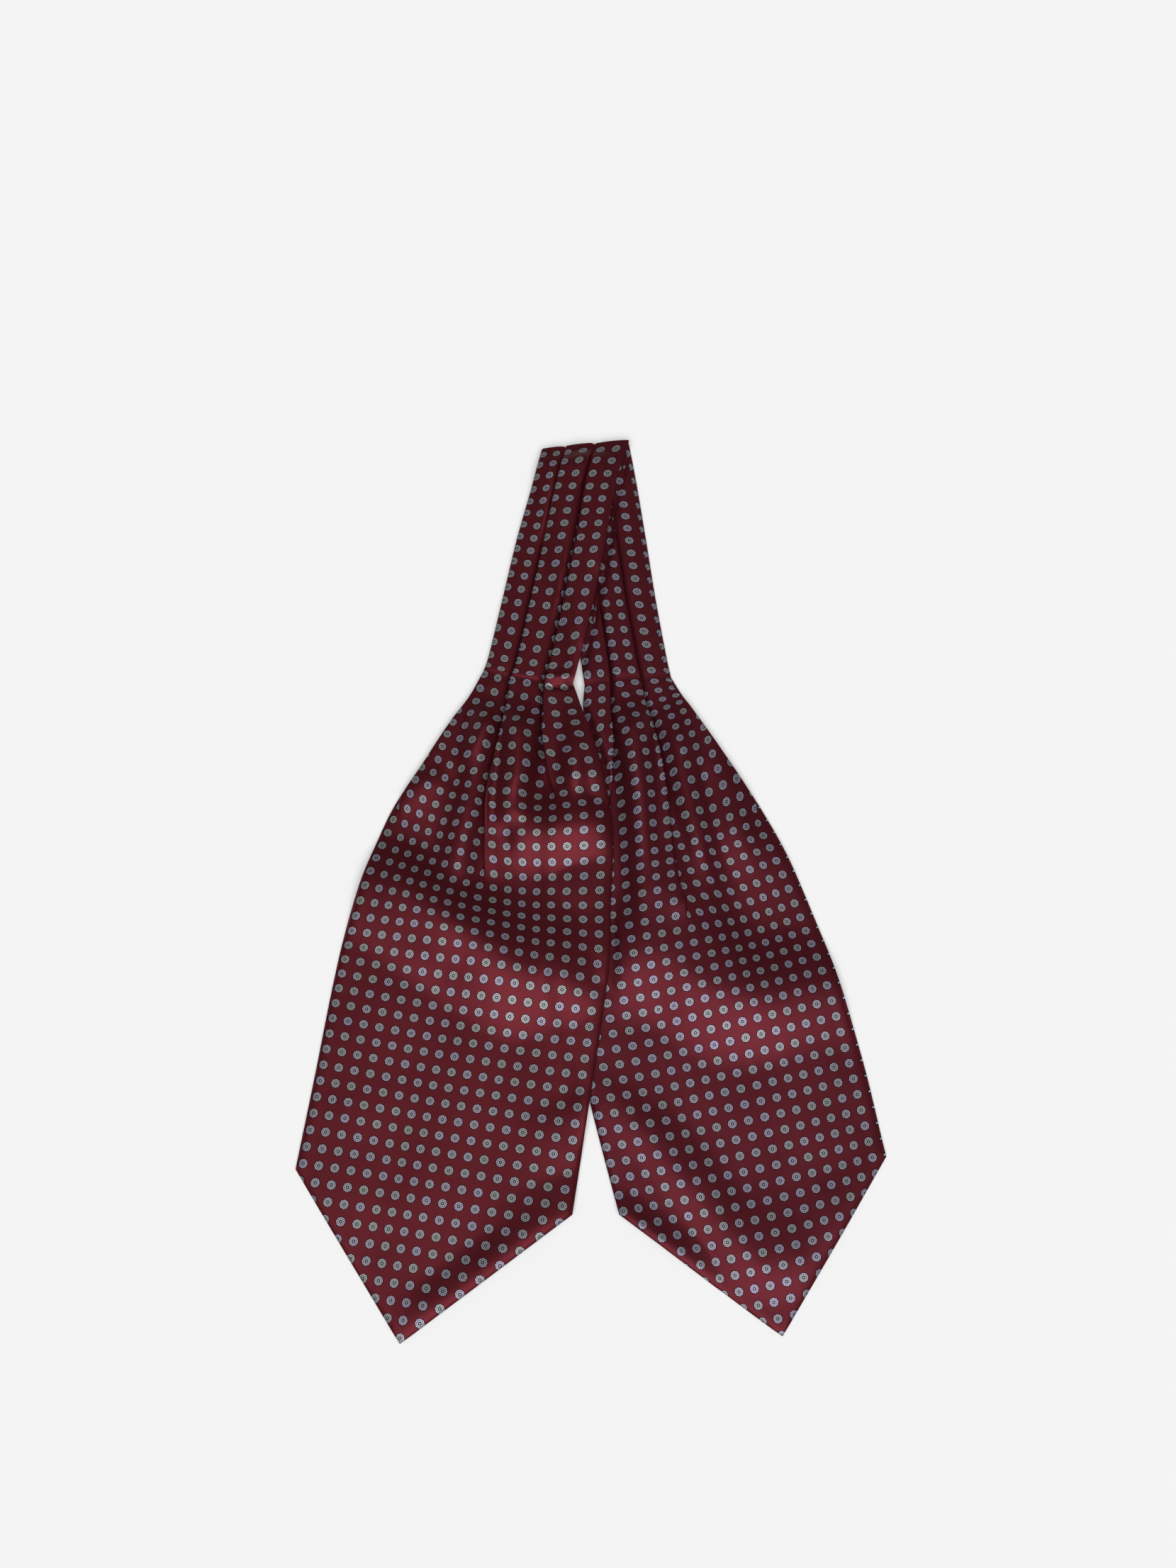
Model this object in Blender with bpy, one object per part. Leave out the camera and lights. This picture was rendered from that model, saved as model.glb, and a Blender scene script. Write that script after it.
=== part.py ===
"""Silk cravat laid on a table, folded once at the back of the neck. Metres, +Z up.

The lengths below are in millimetres. x runs to the right and y runs towards the neck fold, both as
the cravat is seen from above with its two points nearest to the viewer.
"""
from collections import namedtuple
from math import cos, hypot, pi, sin

import bmesh
import bpy

MM = 0.001
CENTRE_X = 1.8  # middle of the laid-out length and width, taken off every point
CENTRE_Y = -43.15

WALL = 1.3  # one blade: silk and its backing, sewn edge to edge
STACK = 3.8  # the same cloth where three pleats lie on each other
GAP = 0.35  # air left between two pieces that lie on each other
NOSE = 2.5  # how far a pleat's folded edge stands over the panel beside it
TIP_DEPTH = 82.0  # from the line of a blade's two corners to its point

# One row for each section of a blade. down is the length of cloth below the tack, outer, mid and
# inner are three points of the section, pleat_1 and pleat_2 are where the two pleats' folded edges
# cross it, as shares of its width from the outer edge.
Section = namedtuple(
    "Section", "down outer_x outer_y mid_x mid_y inner_x inner_y pleat_1 pleat_2"
)
LEFT_BLADE = (
    Section(0, -65.0, 74.0, -46.0, 68.5, -9.3, 64.0, 0.32, 0.69),
    Section(18, -73.5, 57.0, -49.0, 50.0, -4.0, 47.0, 0.35, 0.67),
    Section(37, -84.0, 41.5, -52.0, 32.5, 1.0, 31.0, 0.37, 0.67),
    Section(74, -101.5, 12.0, -59.0, -5.0, 10.0, -2.0, 0.38, 0.73),
    Section(110, -119.5, -19.5, -62.0, -37.0, 14.0, -37.0, 0.44, 0.78),
    Section(147, -132.0, -54.0, -62.0, -72.0, 12.5, -75.0, 0.47, 0.80),
    Section(184, -142.5, -90.0, -65.0, -102.5, 11.5, -112.5, 0.45, 0.76),
    Section(221, -149.0, -124.5, -68.0, -139.0, 7.0, -149.5, 0.40, 0.71),
    Section(276, -157.0, -178.5, -79.0, -192.5, -1.0, -205.0, 0.34, 0.67),
    Section(328, -165.3, -231.8, -87.2, -245.0, -9.0, -256.9, 0.33, 0.67),
)
LEFT_TIP = (-103.0, -325.4)
RIGHT_BLADE = (
    Section(0, 51.4, 69.8, 32.0, 68.0, -2.0, 63.5, 0.36, 0.71),
    Section(20, 57.5, 59.0, 37.0, 53.0, -3.0, 44.5, 0.38, 0.73),
    Section(39, 63.5, 50.0, 42.0, 38.5, -3.5, 25.0, 0.38, 0.74),
    Section(76, 81.0, 23.0, 43.0, 2.5, -10.0, -8.0, 0.41, 0.76),
    Section(113, 103.5, -14.5, 47.0, -34.5, -17.0, -42.0, 0.46, 0.78),
    Section(150, 119.5, -46.5, 54.0, -67.0, -19.0, -77.0, 0.48, 0.78),
    Section(186, 132.5, -80.5, 60.0, -101.0, -15.5, -110.0, 0.46, 0.74),
    Section(223, 144.0, -114.5, 66.0, -133.5, -9.5, -148.0, 0.40, 0.70),
    Section(278, 158.0, -168.0, 81.0, -186.5, 3.0, -200.5, 0.34, 0.67),
    Section(336, 168.9, -224.7, 93.5, -241.5, 17.7, -256.9, 0.33, 0.67),
)
RIGHT_TIP = (106.6, -321.3)

# One row for each section of a neck stretch. Here down is the length of cloth away from the tack,
# up to the fold at the back of the neck, which turns in TURN_STEPS flats.
TURN_STEPS = 6
LEFT_NECK = (
    Section(0, -65.0, 74.35, -46.0, 68.85, -9.3, 64.35, 0.32, 0.69),
    Section(14, -62.2, 83.0, -44.0, 77.5, -7.0, 74.5, 0.33, 0.69),
    Section(56, -53.5, 125.5, -34.0, 121.5, 3.0, 117.5, 0.32, 0.68),
    Section(98, -45.2, 166.5, -25.0, 163.0, 11.3, 162.5, 0.32, 0.67),
    Section(140, -36.0, 204.0, -17.0, 203.0, 17.6, 203.0, 0.31, 0.65),
    Section(168, -29.8, 229.5, -11.0, 231.5, 26.6, 235.8, 0.29, 0.63),
)
RIGHT_NECK = (
    Section(0, 51.4, 70.15, 32.0, 68.35, -2.0, 63.85, 0.36, 0.71),
    Section(14, 49.2, 81.0, 29.5, 81.5, -3.2, 79.0, 0.37, 0.70),
    Section(56, 42.6, 122.5, 23.5, 123.0, -10.5, 121.0, 0.37, 0.69),
    Section(98, 37.0, 164.0, 17.5, 164.0, -17.5, 163.0, 0.36, 0.68),
    Section(140, 31.4, 204.0, 12.5, 203.5, -24.5, 201.5, 0.35, 0.67),
    Section(168, 26.6, 235.0, 7.5, 232.9, -29.8, 228.7, 0.34, 0.66),
)

# Billows lie across a blade. Each row is a place on a crest: back is the reach of the short slope
# towards the neck, front the reach of the long slope towards the point.
Crest = namedtuple("Crest", "x y height back front")
LEFT_BILLOWS = (
    (
        Crest(-66, -32, 0.0, 24, 34),
        Crest(-54, -30, 6.5, 26, 36),
        Crest(-16, -29, 7.5, 26, 38),
        Crest(8, -27, 6.0, 24, 36),
        Crest(22, -26, 0.0, 24, 34),
    ),
    (
        Crest(-152, -58, 0.8, 32, 44),
        Crest(-135, -62, 5.5, 34, 50),
        Crest(-105, -74, 9.0, 40, 54),
        Crest(-75, -94, 9.8, 44, 54),
        Crest(-45, -112, 9.4, 50, 52),
        Crest(-15, -122, 7.0, 52, 50),
        Crest(14, -128, 1.0, 46, 46),
    ),
)
RIGHT_BILLOWS = (
    (
        Crest(2, -110, 1.0, 36, 44),
        Crest(15, -110, 4.0, 40, 48),
        Crest(30, -102, 7.6, 44, 52),
        Crest(45, -107, 8.6, 50, 52),
        Crest(60, -117, 9.0, 54, 54),
        Crest(90, -131, 8.2, 50, 50),
        Crest(120, -130, 5.4, 42, 46),
        Crest(150, -124, 2.0, 36, 40),
        Crest(165, -118, 0.4, 30, 36),
    ),
    (
        Crest(76, -48, 0.0, 30, 40),
        Crest(94, -46, 3.2, 30, 40),
        Crest(110, -50, 2.8, 30, 40),
        Crest(128, -60, 0.4, 26, 36),
    ),
    (
        Crest(6, -188, 0.4, 18, 24),
        Crest(22, -202, 1.9, 18, 26),
        Crest(45, -224, 2.4, 22, 26),
        Crest(64, -240, 2.2, 26, 24),
        Crest(82, -260, 2.0, 30, 26),
        Crest(100, -272, 2.2, 32, 32),
        Crest(125, -272, 2.2, 32, 32),
        Crest(150, -248, 1.2, 28, 28),
        Crest(165, -232, 0.3, 24, 24),
    ),
)
# Gathers run down a blade from the tack. Each row is one soft ridge between two points.
Gather = namedtuple("Gather", "x0 y0 x1 y1 height width")
LEFT_GATHERS = (
    Gather(-62, 44, -78, -74, 7.2, 9),
    Gather(-36, 44, -36, -20, 4.4, 8),
    Gather(-10, 42, -3, -22, 2.6, 8),
    Gather(-98, 4, -122, -46, 1.6, 9),
    Gather(-14, -249, -100, -313, 0.6, 8),
)
RIGHT_GATHERS = (
    Gather(24, 44, 36, -88, 5.0, 9),
    Gather(50, 46, 80, -106, 7.4, 11.5),
    Gather(88, 12, 112, -30, 1.4, 9),
)

# Where the left half lies over the right half: the right half's hidden inner edge, and the height
# that the left half's underside takes over it.
Rest = namedtuple("Rest", "y edge_x height")
OVERLAP = (
    Rest(-230, 12.0, 1.65),
    Rest(-205, 4.0, 1.65),
    Rest(-182, 0.5, 1.65),
    Rest(-150, -9.0, 1.75),
    Rest(-112, -15.0, 3.5),
    Rest(-94, -17.5, 3.7),
    Rest(-77, -19.0, 2.9),
    Rest(-42, -17.0, 1.9),
    Rest(-8, -10.0, 2.2),
    Rest(12, -6.0, 2.6),
    Rest(25, -3.5, 2.9),
    Rest(52, -2.5, 3.7),
    Rest(79, -3.2, 4.25),
    Rest(121, -10.5, 4.3),
    Rest(163, -17.5, 4.3),
    Rest(201, -24.5, 4.3),
    Rest(240, -31.5, 4.3),
)
SKIRT = 15.0  # how far out the left half takes to come down to the table beside that edge

# Lengths of cloth from the tack at which rows of points lie, down a blade and up a neck stretch,
# and the places of a panel's columns as shares of its width.
BLADE_ROWS = (0, 2.5, 7, 13, 20, 28, 36, 45, 54, 63, 72, 82, 92, 102, 112, 122, 132, 141, 150, 159, 168,
              178, 190, 203, 218, 236, 258, 282, 306)
NECK_ROWS = (0, 1.5, 5, 10, 18, 30, 44, 58, 72, 86, 100, 113, 123, 132, 140, 148, 156, 162, 168)
PANEL_STEPS = (0.0, 0.07, 0.2, 0.35, 0.5, 0.65, 0.8, 0.93, 1.0)


def smooth(low, high, value):
    """Goes from 0 to 1 with no kink while value goes from low to high."""
    share = min(max((value - low) / (high - low), 0.0), 1.0)
    return share * share * (3.0 - 2.0 * share)


def between(rows, key, value, name):
    """The column called name, read off the rows at key = value, as a smooth curve through them."""
    last = len(rows) - 1
    i = 0
    while i < last - 1 and value > getattr(rows[i + 1], key):
        i += 1
    k0, k1 = getattr(rows[i], key), getattr(rows[i + 1], key)
    v0, v1 = getattr(rows[i], name), getattr(rows[i + 1], name)
    span = k1 - k0
    t = min(max((value - k0) / span, 0.0), 1.0)
    slope = (v1 - v0) / span
    before = slope
    after = slope
    if i > 0:
        k, v = getattr(rows[i - 1], key), getattr(rows[i - 1], name)
        before = (v1 - v) / (k1 - k)
    if i < last - 1:
        k, v = getattr(rows[i + 2], key), getattr(rows[i + 2], name)
        after = (v - v0) / (k - k0)
    t2, t3 = t * t, t * t * t
    return (
        (2 * t3 - 3 * t2 + 1) * v0
        + (t3 - 2 * t2 + t) * span * before
        + (3 * t2 - 2 * t3) * v1
        + (t3 - t2) * span * after
    )


def section_point(rows, down, share):
    """A point of the section, share of the way from its outer edge to its inner one."""
    ox, oy = between(rows, "down", down, "outer_x"), between(rows, "down", down, "outer_y")
    mx, my = between(rows, "down", down, "mid_x"), between(rows, "down", down, "mid_y")
    ix, iy = between(rows, "down", down, "inner_x"), between(rows, "down", down, "inner_y")
    first, second = hypot(mx - ox, my - oy), hypot(ix - mx, iy - my)
    m = first / (first + second)
    a = (share - m) * (share - 1.0) / m
    b = share * (1.0 - share) / (m * (1.0 - m))
    c = share * (share - m) / (1.0 - m)
    return a * ox + b * mx + c * ix, a * oy + b * my + c * iy


def section_width(rows, down):
    ends = section_point(rows, down, 0.0), section_point(rows, down, 1.0)
    return hypot(ends[1][0] - ends[0][0], ends[1][1] - ends[0][1])


def bump(share):
    return 0.5 + 0.5 * cos(pi * min(share, 1.0))


def billow_height(crests, x, y):
    if x <= crests[0].x or x >= crests[-1].x:
        x = min(max(x, crests[0].x), crests[-1].x)
    off = y - between(crests, "x", x, "y")
    height = max(between(crests, "x", x, "height"), 0.0)
    reach = between(crests, "x", x, "back" if off > 0 else "front")
    return height * bump(abs(off) / reach)


def gather_height(gather, x, y):
    dx, dy = gather.x1 - gather.x0, gather.y1 - gather.y0
    length = hypot(dx, dy)
    along = ((x - gather.x0) * dx + (y - gather.y0) * dy) / length
    off = abs((x - gather.x0) * dy - (y - gather.y0) * dx) / length
    ends = smooth(-18.0, 14.0, along) * (1.0 - smooth(length - 26.0, length + 18.0, along))
    return gather.height * ends * bump(off / (1.6 * gather.width))


def relief(billows, gathers, x, y):
    """Height of the highest billow or gather at x, y, softly joined to the rest."""
    found = [gather_height(g, x, y) for g in gathers]
    found += [billow_height(crests, x, y) for crests in billows]
    return sum(height**3 for height in found) ** (1.0 / 3.0)


def lift(x, y):
    """Height of the left half's underside where it rests on the right half, 0 on the table."""
    y = min(max(y, OVERLAP[0].y), OVERLAP[-1].y)
    edge = between(OVERLAP, "y", y, "edge_x")
    return between(OVERLAP, "y", y, "height") * smooth(edge - SKIRT, edge - 2.0, x)


def columns(rows, down):
    """(share of the width, panel number, share of the panel) for each column of a section."""
    width = section_width(rows, down)
    ease = (0.35 + 3.0 * smooth(30, 80, down) + 6.0 * smooth(80, 150, down)) / width
    first = between(rows, "down", down, "pleat_1")
    second = between(rows, "down", down, "pleat_2")
    limits = ((0.0, first - ease), (first + ease, second - ease), (second + ease, 1.0))
    found = []
    for number, (low, high) in enumerate(limits):
        for step in PANEL_STEPS:
            found.append((low + (high - low) * step, number, step))
    return found


def pleat_height(down, number, step):
    """Height over a single wall that the pleats give at this place of a panel."""
    ends = (112, 138, 92)
    stand = NOSE * (1.0 - smooth(0.3 * ends[number], ends[number], down))
    flat = 1.0 - smooth(0, 60, down)
    power = 1.2 + 5.0 * flat
    if number == 2:
        return stand * (1.0 - (1.0 - flat) * step)
    return stand * (1.0 - 0.9 * step**power)


def blade(name, rows, tip, billows, gathers, rests):
    """A blade from the tack to its point: an upper and a lower surface, closed round the edge."""
    end = rows[-1].down
    corners = section_point(rows, end, 0.0), section_point(rows, end, 1.0)
    middle = [(corners[0][i] + corners[1][i]) / 2 for i in (0, 1)]
    fall = [(tip[i] - middle[i]) / TIP_DEPTH for i in (0, 1)]
    downs = BLADE_ROWS + (end - 0.8, end)
    upper, lower = [], []
    for r, down in enumerate(downs):
        chevron = TIP_DEPTH * smooth(180, end, down)
        hidden = (STACK - WALL) * (1.0 - smooth(20, 130, down))
        crease = 0.72 + 0.28 * smooth(0, 5, down)
        fade = smooth(4, 40, down)
        for c, (share, number, step) in enumerate(columns(rows, down)):
            x, y = section_point(rows, down, share)
            point = chevron * (1.0 - abs(2.0 * share - 1.0))
            x += point * fall[0]
            y += point * fall[1]
            floor = lift(x, y) if rests else 0.0
            rise = pleat_height(down, number, step) * crease
            rise += relief(billows, gathers, x, y) * fade
            top = floor + WALL * (0.7 + 0.3 * crease) + rise
            under = floor + max(0.0, rise - hidden)
            rim = r in (0, len(downs) - 1) or c in (0, 3 * len(PANEL_STEPS) - 1)
            upper.append((x, y, top - (0.4 if rim else 0.0)))
            lower.append((x, y, under + (0.25 if rim else 0.0)))
    mesh = bmesh.new()
    for points in (upper, lower):
        add_grid(mesh, points, len(downs))
    bmesh.ops.bridge_loops(mesh, edges=[edge for edge in mesh.edges if edge.is_boundary])
    return finish(name, mesh)


def add_grid(mesh, points, row_count):
    """Adds a grid with a row of faces between each two rows of points, which come row by row."""
    across = len(points) // row_count
    made = bmesh.ops.create_grid(mesh, x_segments=across - 1, y_segments=row_count - 1, size=1.0)
    mesh.verts.index_update()
    for vert, (x, y, z) in zip(sorted(made["verts"], key=lambda v: v.index), points):
        vert.co = ((x - CENTRE_X) * MM, (y - CENTRE_Y) * MM, z * MM)


def finish(name, mesh):
    mesh.verts.index_update()
    bmesh.ops.recalc_face_normals(mesh, faces=mesh.faces[:])
    data = bpy.data.meshes.new(name)
    mesh.to_mesh(data)
    mesh.free()
    made = bpy.data.objects.new(name, data)
    cravat.objects.link(made)
    made.data.materials.append(silk(name))
    return made


def silk(name):
    made = bpy.data.materials.new("silk_" + name)
    made.use_nodes = True
    shader = made.node_tree.nodes["Principled BSDF"]
    shader.inputs["Base Color"].default_value = (0.10, 0.012, 0.022, 1.0)
    shader.inputs["Roughness"].default_value = 0.45
    return made


def neck_ring(rows, down, set_back):
    """(distance from the outer edge, height) round a pleated section, from the table up and over."""
    width = section_width(rows, down)
    first = width * between(rows, "down", down, "pleat_1")
    second = width * between(rows, "down", down, "pleat_2")
    layer = STACK / 3.0
    ring = []
    for side in (0, 1):
        # The folded edges of the three layers, one over the other, with a groove between them.
        edge = []
        for number in (0, 1, 2):
            low = number * layer
            out = set_back if number == 2 and side == 0 else 0.0
            edge.append((out + 0.35, low + 0.02 + (0.0 if number == 0 else 0.12)))
            edge.append((out, low + 0.40))
            edge.append((out, low + 0.86))
            edge.append((out + 0.35, low + layer - (0.02 if number == 2 else 0.14)))
            if number < 2:
                deep = max(out, set_back if number == 1 and side == 0 else 0.0) + 0.9
                edge.append((deep, low + layer))
        if side == 0:
            ring += edge
            for nose in (first, second):
                ring += [
                    (nose - 8.0, STACK),
                    (nose - 4.0, STACK - 0.25),
                    (nose - 1.6, STACK - 0.9),
                    (nose - 0.15, STACK - 1.75),
                    (nose + 0.35, STACK - 1.85),
                    (nose - 0.3, STACK - 1.1),
                    (nose - 0.25, STACK - 0.4),
                    (nose + 0.5, STACK + 0.1),
                    (nose + 2.5, STACK + 0.1),
                ]
        else:
            ring += [(width - out, high) for out, high in reversed(edge)]
    under = (0.93, 0.84, 0.74, 0.64, 0.54, 0.44, 0.34, 0.24, 0.12)
    return ring + [(width * share, 0.0) for share in under], width


def neck(name, rows, rests, turn, set_back):
    """A pleated neck stretch: one section after another, and the half turn at the neck if it has it."""
    stations = []
    for down in NECK_ROWS:
        ring, width = neck_ring(rows, down, set_back)
        puff = 1.0 - 0.28 * (1.0 - smooth(0, 6, down)) + 0.16 * bump(abs(down - 9.0) / 8.0)
        points = []
        for off, high in ring:
            x, y = section_point(rows, down, off / width)
            base = lift(x, y) if rests else 0.0
            points.append((x, y, base + high * puff))
        stations.append(points)
    if turn:
        stations += half_turn(stations[-1])
    mesh = bmesh.new()
    add_grid(mesh, [point for ring in stations for point in ring + ring[:1]], len(stations))
    bmesh.ops.remove_doubles(mesh, verts=mesh.verts[:], dist=1e-7)
    bmesh.ops.holes_fill(mesh, edges=[edge for edge in mesh.edges if edge.is_boundary])
    ends = [face for face in mesh.faces if len(face.verts) > 4]
    bmesh.ops.triangulate(mesh, faces=ends)
    return finish(name, mesh)


def half_turn(last):
    """Sections that carry the upper stretch round the back of the neck and down to the table."""
    axis = min(point[2] for point in last) - GAP / 2
    left = min(last, key=lambda point: point[0])
    right = max(last, key=lambda point: point[0])
    length = hypot(right[0] - left[0], right[1] - left[1])
    over = (-(right[1] - left[1]) / length, (right[0] - left[0]) / length)
    found = []
    for step in range(1, TURN_STEPS + 1):
        angle = pi * step / TURN_STEPS
        points = []
        for x, y, z in last:
            reach = z - axis
            out = reach * sin(angle)
            points.append((x + over[0] * out, y + over[1] * out, axis + reach * cos(angle)))
        found.append(points)
    return found


for old in list(bpy.data.objects):
    bpy.data.objects.remove(old, do_unlink=True)
cravat = bpy.data.collections.new("silk_cravat")
bpy.context.scene.collection.children.link(cravat)

blade("left_blade", LEFT_BLADE, LEFT_TIP, LEFT_BILLOWS, LEFT_GATHERS, True)
blade("right_blade", RIGHT_BLADE, RIGHT_TIP, RIGHT_BILLOWS, RIGHT_GATHERS, False)
neck("left_neck_band", LEFT_NECK, True, True, 0.0)
neck("right_neck_band", RIGHT_NECK, False, False, 3.0)
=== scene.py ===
# %% [markdown]
# # A silk cravat laid out on a table
#
# The real thing is two long strips of printed silk, each backed with the same silk, joined at the
# back of the neck. Three knife pleats are pressed into each neck stretch and held by a stitched
# tuck, and below the tuck they open into a wide blade with a right-angled point. Here it lies
# folded once at the back of the neck, left half over right half.
#
# The CAD solids give the size and the place. This script dresses them: it lays a thin sheet of
# cloth over each half, folds it as the maker did, and prints the repeat on it.

from collections import namedtuple
from math import cos, degrees, hypot, pi, radians, sin, sqrt

import bpy
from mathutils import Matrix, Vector, noise


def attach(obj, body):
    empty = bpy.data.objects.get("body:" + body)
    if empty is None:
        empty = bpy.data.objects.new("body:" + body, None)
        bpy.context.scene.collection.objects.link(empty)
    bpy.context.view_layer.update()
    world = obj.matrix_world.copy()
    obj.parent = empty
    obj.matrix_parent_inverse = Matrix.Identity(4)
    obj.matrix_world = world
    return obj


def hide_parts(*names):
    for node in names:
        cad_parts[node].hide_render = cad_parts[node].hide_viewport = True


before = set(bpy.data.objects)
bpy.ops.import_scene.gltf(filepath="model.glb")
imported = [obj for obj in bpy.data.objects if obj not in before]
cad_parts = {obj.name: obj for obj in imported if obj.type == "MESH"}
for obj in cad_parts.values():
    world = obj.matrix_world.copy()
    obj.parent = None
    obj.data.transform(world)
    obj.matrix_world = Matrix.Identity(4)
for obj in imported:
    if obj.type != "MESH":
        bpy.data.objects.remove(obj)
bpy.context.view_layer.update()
for chosen in list(bpy.context.selected_objects):
    chosen.select_set(False)
MM = 0.001
CENTRE = (1.8, -43.15)  # taken off each x and y below, which are in mm

# %% [markdown]
# ## Camera, table and light
#
# The cravat was photographed from nearly straight above. The floor point under the middle of the
# picture is x 0, y 0 in the millimetres used below. A long lens from over a metre away keeps the two
# points as large as the neck fold, so the camera is placed by distance and tilt from that point.
# One very broad, soft light stands overhead, a little towards the viewer: each slope that faces the
# viewer goes bright, each slope that faces the neck goes dark, and the table stays even.

# %% Camera
TILT = 19.5  # degrees from straight down
FAR = 1091.2  # mm from the middle of the picture to the lens
FOCAL_SHARE = 2524.0 / 2212.0  # focal length over picture height

lens = bpy.data.cameras.new("camera")
lens.sensor_fit = "VERTICAL"
lens.sensor_height = 36.0
lens.lens = 36.0 * FOCAL_SHARE
lens.clip_start, lens.clip_end = 0.05, 20.0
camera = bpy.data.objects.new("camera", lens)
camera.location = (
    -CENTRE[0] * MM,
    (-FAR * sin(radians(TILT)) - CENTRE[1]) * MM,
    FAR * cos(radians(TILT)) * MM,
)
camera.rotation_euler = (radians(TILT), 0.0, 0.0)
bpy.context.scene.collection.objects.link(camera)
bpy.context.scene.camera = camera
print("lens", round(lens.lens, 2), "camera height", round(camera.location.z, 3))

# %% Table and light
bpy.ops.mesh.primitive_plane_add(size=6.0, location=(0.0, 0.0, -0.0006))
table = bpy.context.object
table.name = "table"
paint = bpy.data.materials.new("table_white")
paint.use_nodes = True
shader = paint.node_tree.nodes["Principled BSDF"]
shader.inputs["Base Color"].default_value = (0.86, 0.86, 0.86, 1.0)
shader.inputs["Roughness"].default_value = 0.9
shader.inputs["Specular IOR Level"].default_value = 0.1
table.data.materials.append(paint)

KEY_SPREAD = 64.0  # degrees of sky that the key light covers; the wider, the softer
TOWARDS_KEY = Vector((0.02, -0.56, 1.0))
key = bpy.data.lights.new("key", "SUN")
key.energy = 3.35
key.angle = radians(KEY_SPREAD)
key_light = bpy.data.objects.new("key", key)
key_light.rotation_euler = TOWARDS_KEY.to_track_quat("Z", "Y").to_euler()
bpy.context.scene.collection.objects.link(key_light)
world = bpy.data.worlds.new("studio")
world.use_nodes = True
sky = world.node_tree.nodes["Background"]
sky.inputs["Color"].default_value = (1.0, 1.0, 1.0, 1.0)
sky.inputs["Strength"].default_value = 0.122
bpy.context.scene.world = world
bpy.context.scene.view_settings.view_transform = "Standard"
lean = degrees(TOWARDS_KEY.angle(Vector((0.0, 0.0, 1.0))))
print("key light leans", round(lean, 1), "degrees and spreads over", KEY_SPREAD)

# %% [markdown]
# ## Where the cloth lies
#
# Cloth could be dropped on a table by simulation, but then nobody could say where each pleat ends
# up. Here the lay is written down as a maker would mark it: a row for each section across a half,
# with its two edges, a point between them, and the shares of its width at which the two inner
# pleats stand. A smooth curve runs through the rows.

# %% Sections
Section = namedtuple(
    "Section", "down outer_x outer_y mid_x mid_y inner_x inner_y pleat_1 pleat_2"
)
LEFT_BLADE = (
    Section(0, -65.0, 74.0, -46.0, 68.5, -9.3, 64.0, 0.32, 0.69),
    Section(18, -73.5, 57.0, -49.0, 50.0, -4.0, 47.0, 0.35, 0.67),
    Section(37, -84.0, 41.5, -52.0, 32.5, 1.5, 31.0, 0.37, 0.67),
    Section(74, -101.5, 12.0, -59.0, -5.0, 10.6, -2.0, 0.38, 0.73),
    Section(110, -119.5, -19.5, -62.0, -37.0, 14.7, -37.0, 0.44, 0.78),
    Section(147, -132.0, -54.0, -62.0, -72.0, 13.3, -75.0, 0.47, 0.80),
    Section(184, -142.5, -90.0, -65.0, -102.5, 12.2, -112.5, 0.45, 0.76),
    Section(221, -149.0, -124.5, -68.0, -139.0, 7.5, -149.5, 0.40, 0.71),
    Section(276, -157.0, -178.5, -79.0, -192.5, -1.0, -205.0, 0.34, 0.67),
    Section(328, -165.3, -231.8, -87.2, -245.0, -9.0, -256.9, 0.33, 0.67),
)
RIGHT_BLADE = (
    Section(0, 51.4, 69.8, 32.0, 68.0, -2.0, 63.5, 0.36, 0.71),
    Section(20, 57.5, 59.0, 37.0, 53.0, -3.0, 44.5, 0.38, 0.73),
    Section(39, 63.5, 50.0, 42.0, 38.5, -3.5, 25.0, 0.38, 0.74),
    Section(76, 81.0, 23.0, 43.0, 2.5, -10.0, -8.0, 0.41, 0.76),
    Section(113, 103.5, -14.5, 47.0, -34.5, -17.0, -42.0, 0.46, 0.78),
    Section(150, 119.5, -46.5, 54.0, -67.0, -19.0, -77.0, 0.48, 0.78),
    Section(186, 132.5, -80.5, 60.0, -101.0, -15.5, -110.0, 0.46, 0.74),
    Section(223, 144.0, -114.5, 66.0, -133.5, -9.5, -148.0, 0.40, 0.70),
    Section(278, 158.0, -168.0, 81.0, -186.5, 3.0, -200.5, 0.34, 0.67),
    Section(336, 168.9, -224.7, 93.5, -241.5, 17.7, -256.9, 0.33, 0.67),
)
# In a neck stretch, down is the length of cloth up from the tack.
LEFT_NECK = (
    Section(0, -65.0, 74.0, -46.0, 68.5, -9.3, 64.0, 0.32, 0.69),
    Section(14, -62.2, 83.0, -44.0, 77.5, -6.5, 74.5, 0.33, 0.69),
    Section(56, -53.5, 125.5, -34.0, 121.5, 3.0, 117.5, 0.32, 0.68),
    Section(98, -45.2, 166.5, -25.0, 163.0, 11.3, 162.5, 0.32, 0.67),
    Section(140, -36.0, 204.0, -17.0, 203.0, 17.6, 203.0, 0.31, 0.65),
    Section(168, -29.8, 228.5, -11.0, 230.5, 26.6, 234.8, 0.29, 0.63),
)
RIGHT_NECK = (
    Section(0, 51.4, 69.8, 32.0, 68.0, -2.0, 63.5, 0.36, 0.71),
    Section(14, 49.2, 81.0, 29.5, 81.5, -4.0, 79.0, 0.37, 0.70),
    Section(56, 42.6, 122.5, 23.5, 123.0, -10.5, 121.0, 0.37, 0.69),
    Section(98, 37.0, 164.0, 17.5, 164.0, -17.5, 163.0, 0.36, 0.68),
    Section(140, 31.4, 204.0, 12.5, 203.5, -24.5, 201.5, 0.35, 0.67),
    Section(168, 26.6, 235.0, 7.5, 232.9, -29.8, 228.7, 0.34, 0.66),
)
TIPS = {"left": (-103.0, -325.4), "right": (106.6, -321.3)}
TIP_DEPTH = 82.0  # mm from a blade's corners down to its tip
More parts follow.
